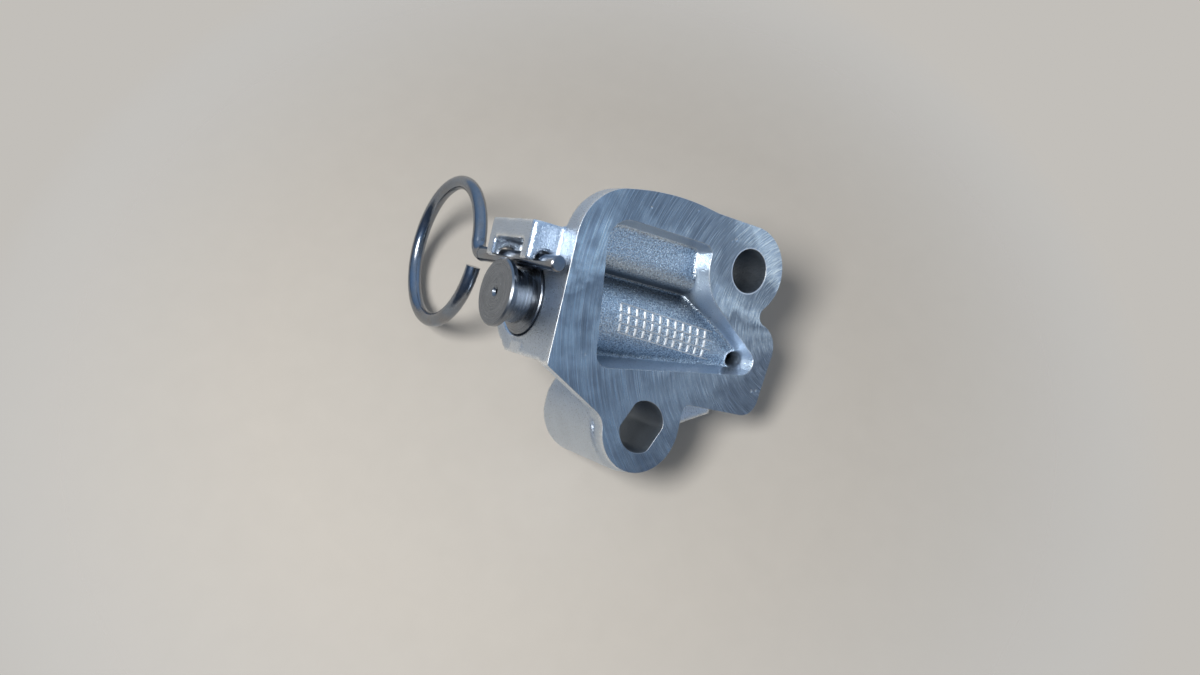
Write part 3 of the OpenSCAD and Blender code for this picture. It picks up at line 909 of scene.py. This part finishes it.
class TENSIONER_OT_springs(bpy.types.Operator):
    """Winds the two round-wire springs"""

    bl_idname = "tensioner.springs"
    bl_label = "Springs"

    STEPS_A_TURN = 28
    SECTION_SIDES = 12
    # pitch of the closed end turns, in wires
    CLOSED_PITCH = 1.03

    def execute(self, context):
        looks = context.scene.tensioner.springs
        colour = context.scene.tensioner.steel.spring_colour
        wire = drawn_wire("spring_wire", colour, rough=0.32)
        spring = self.wind("plunger_spring", "coiled_plunger_spring", looks.plunger_wire,
                           looks.plunger_turns, wire)
        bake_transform(spring)
        spring = self.wind("check_spring", "coiled_check_spring", looks.check_wire,
                           looks.check_turns, wire)
        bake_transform(spring)
        return {"FINISHED"}

    def wind(self, node, name, wire, turns, material):
        """A spring with closed ends in the room of the CAD node's."""
        low, high = (Vector(corner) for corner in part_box(node))
        coil = (high.y - low.y - wire) / 2
        start, rise = low.x + wire / 2, high.x - low.x - wire
        pitch = rise / turns
        bpy.ops.object.select_all(action="DESELECT")
        bpy.ops.mesh.primitive_circle_add(vertices=self.SECTION_SIDES, radius=wire / 2)
        spring = bpy.context.active_object
        spring.name = spring.data.name = name
        bpy.ops.object.mode_set(mode="EDIT")
        bpy.ops.transform.translate(value=(start, coil, 0))
        leave_edit()
        modify(spring, "SCREW", axis="X", angle=math.tau, screw_offset=pitch, iterations=turns,
               steps=self.STEPS_A_TURN, render_steps=self.STEPS_A_TURN)
        # the end turns lie against their neighbours, as in a spring with closed ends
        closed = wire * self.CLOSED_PITCH
        open_pitch = (rise - 2 * closed) / (turns - 2)
        for vertex in spring.data.vertices:
            turn = (vertex.index // self.SECTION_SIDES) / self.STEPS_A_TURN
            wound = (closed * min(turn, 1.0) + open_pitch * min(max(turn - 1.0, 0.0), turns - 2)
                     + closed * max(turn - turns + 1.0, 0.0))
            vertex.co += Vector((wound - pitch * turn, AXIS_Y, AXIS_Z))
        edit(spring)
        bpy.ops.mesh.select_all(action="SELECT")
        bpy.ops.mesh.fill_holes(sides=0)
        bpy.ops.mesh.select_all(action="SELECT")
        bpy.ops.mesh.normals_make_consistent(inside=False)
        leave_edit()
        smooth(spring, degrees=45)
        dress(spring, material)
        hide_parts(node)
        return spring


class TENSIONER_OT_stage(bpy.types.Operator):
    """Sets the floor, the lights, the surroundings and the camera"""

    bl_idname = "tensioner.stage"
    bl_label = "Stage"

    # the floor's up, and the camera's place and axes, in the part's own frame
    UP = Vector((0.535, -0.47, 0.70)).normalized()
    RIGHT = Vector((-0.8079, -0.2275, 0.5436))
    ABOVE = Vector((0.1858, -0.9738, -0.1313))
    BACK = Vector((0.5592, -0.0051, 0.8290))
    EYE = Vector((0.1003, 0.0147, 0.1121))
    # the key light stands above the part, to the picture's left and towards its lower edge
    KEY_WAY = (UP - RIGHT * 0.347 - ABOVE * 0.334).normalized()
    KEY_AWAY, KEY_SIZE = 0.30, 0.11
    # the weak light under the floor
    UNDER_AWAY, UNDER_SIZE = 0.5, 0.5
    FLOOR_SIDES = 96
    # share of the floor's reach from which it fades
    FADE_FROM = 0.5
    # the room's colours, from dark to pale along this way
    ROOM_WAY = Vector((0.2, -0.85, 0.45)).normalized()
    ROOM = ((0.0, (0.03, 0.035, 0.05)), (0.25, (0.05, 0.07, 0.10)), (0.5, (0.08, 0.125, 0.21)),
            (0.63, (0.255, 0.385, 0.575)), (0.84, (0.34, 0.50, 0.73)), (1.0, (0.52, 0.64, 0.81)))
    # a white window in the room, and the closeness to its way at its edge and in full
    WINDOW_WAY = Vector((-0.73, -0.09, 0.68)).normalized()
    WINDOW_EDGE = (0.988, 0.998)
    # slopes between which the room turns into the floor's light
    HORIZON = (-0.12, -0.02)
    FLOOR_GLOW = 1.15
    # what the room gives to dull surfaces
    FILL_COLOUR = (0.36, 0.36, 0.36)
    FILL_SHARE = 0.6

    def execute(self, context):
        looks = context.scene.tensioner.stage
        middle = (CAD_LOW + CAD_HIGH) / 2
        self.floor(looks, middle)
        self.lamp("key_light", middle + self.KEY_WAY * self.KEY_AWAY, middle, self.KEY_SIZE,
                  looks.key_power, looks.key_colour)
        self.lamp("under_light", middle - self.UP * self.UNDER_AWAY, middle, self.UNDER_SIZE,
                  looks.fill_power, (1.0, 1.0, 1.0))
        self.surroundings(context.scene, looks.backdrop_colour)
        self.camera(context.scene, looks.lens)
        context.scene.view_settings.view_transform = "Standard"
        return {"FINISHED"}

    def floor(self, looks, middle):
        """A round floor under the part's lowest point, which fades into the backdrop."""
        low = min(self.UP.dot(v.co) for o in NODES.values() for v in o.data.vertices)
        centre = middle + self.UP * (low - self.UP.dot(middle))
        bpy.ops.object.select_all(action="DESELECT")
        bpy.ops.mesh.primitive_circle_add(vertices=self.FLOOR_SIDES, radius=looks.floor_reach,
                                          fill_type="TRIFAN")
        floor = bpy.context.active_object
        floor.name = "floor"
        turn = self.UP.to_track_quat("Z", "Y").to_matrix().to_4x4()
        floor.data.transform(Matrix.Translation(centre) @ turn)
        material, tree, shader = new_material("plain_floor")
        link = tree.links.new
        place = object_place(tree)
        noise = add(tree, "ShaderNodeTexNoise", Scale=220.0, Detail=4.0)
        link(place, noise.inputs["Vector"])
        link(shaded(tree, noise.outputs["Fac"], looks.floor_colour, dark=0.97, light=1.03),
             shader.inputs["Base Color"])
        shader.inputs["Roughness"].default_value = 0.7
        shader.inputs["Specular IOR Level"].default_value = 0.2
        # it hides nothing from below, and lets the light under it through
        sides = tree.nodes.new("ShaderNodeNewGeometry").outputs
        rays = tree.nodes.new("ShaderNodeLightPath").outputs
        unseen = math_node(tree, "MAXIMUM", sides["Backfacing"], rays["Is Shadow Ray"])
        faded = span(tree, vector_value(tree, "DISTANCE", place, centre),
                     looks.floor_reach * self.FADE_FROM, looks.floor_reach)
        both = tree.nodes.new("ShaderNodeMixShader")
        link(math_node(tree, "MAXIMUM", unseen, faded), both.inputs["Fac"])
        link(shader.outputs["BSDF"], both.inputs[1])
        link(tree.nodes.new("ShaderNodeBsdfTransparent").outputs["BSDF"], both.inputs[2])
        link(both.outputs["Shader"], tree.nodes["Material Output"].inputs["Surface"])
        dress(floor, material)

    @staticmethod
    def lamp(name, place, target, size, power, colour):
        """A round soft light that looks at target."""
        light = bpy.data.lights.new(name, "AREA")
        light.shape = "DISK"
        light.size = size
        light.energy = power
        light.color = colour
        lamp = bpy.data.objects.new(name, light)
        lamp.location = place
        lamp.rotation_euler = (place - target).to_track_quat("Z", "Y").to_euler()
        bpy.context.scene.collection.objects.link(lamp)

    def surroundings(self, scene, backdrop):
        """Room that shows in the metal, with a plain backdrop for the camera."""
        world = bpy.data.worlds.new("soft_room")
        scene.world = world
        world.use_nodes = True
        tree = world.node_tree
        link = tree.links.new
        direction = tree.nodes.new("ShaderNodeTexCoord").outputs["Generated"]
        ahead, near_window, slope = (vector_value(tree, "DOT_PRODUCT", direction, way)
                                     for way in (self.ROOM_WAY, self.WINDOW_WAY, self.UP))
        light = ramp(tree, span(tree, ahead, -1.0, 1.0), self.ROOM)
        light = mix_colour(tree, span(tree, near_window, *self.WINDOW_EDGE), light, (1.0, 1.0, 1.0))
        light = mix_colour(tree, span(tree, slope, *self.HORIZON, to_low=1.0, to_high=0.0), light,
                           scaled(backdrop, self.FLOOR_GLOW))
        rays = tree.nodes.new("ShaderNodeLightPath").outputs
        light = mix_colour(tree, rays["Is Diffuse Ray"], light, self.FILL_COLOUR)
        light = mix_colour(tree, rays["Is Camera Ray"], light, backdrop)
        background = tree.nodes["Background"]
        link(light, background.inputs["Color"])
        link(span(tree, rays["Is Diffuse Ray"], to_low=1.0, to_high=self.FILL_SHARE),
             background.inputs["Strength"])

    def camera(self, scene, lens):
        """The photo's camera."""
        data = bpy.data.cameras.new("camera")
        data.sensor_width = 36.0
        data.lens = lens
        data.clip_start, data.clip_end = 0.005, 20.0
        camera = bpy.data.objects.new("camera", data)
        scene.collection.objects.link(camera)
        turn = Matrix((self.RIGHT, self.ABOVE, self.BACK)).transposed()
        camera.matrix_world = Matrix.Translation(self.EYE) @ turn.to_4x4()
        scene.camera = camera


class TENSIONER_PT_panel(bpy.types.Panel):
    """Lists the tensioner's steps and settings"""

    bl_idname = "TENSIONER_PT_panel"
    bl_label = "Tensioner"
    bl_space_type = "VIEW_3D"
    bl_region_type = "UI"
    bl_category = "Tensioner"

    def draw(self, context):
        for step in STEPS:
            self.layout.operator(step.bl_idname)
        settings = context.scene.tensioner
        for group in (settings.casting, settings.marks, settings.springs, settings.steel,
                      settings.stage):
            box = self.layout.box()
            for name in group.__annotations__:
                box.prop(group, name)


STEPS = (TENSIONER_OT_housing, TENSIONER_OT_raised_grid, TENSIONER_OT_steel,
         TENSIONER_OT_springs, TENSIONER_OT_stage)
CLASSES = (CastingLooks, MarkLooks, SpringLooks, SteelLooks, StageLooks, TensionerSettings, *STEPS,
           TENSIONER_PT_panel)


def register():
    for kind in CLASSES:
        bpy.utils.register_class(kind)
    bpy.types.Scene.tensioner = PointerProperty(type=TensionerSettings)


def unregister():
    del bpy.types.Scene.tensioner
    for kind in reversed(CLASSES):
        bpy.utils.unregister_class(kind)


def main():
    register()
    bpy.ops.tensioner.housing()
    bpy.ops.tensioner.raised_grid()
    bpy.ops.tensioner.steel()
    bpy.ops.tensioner.springs()
    bpy.ops.tensioner.stage()


if __name__ == "__main__":
    main()
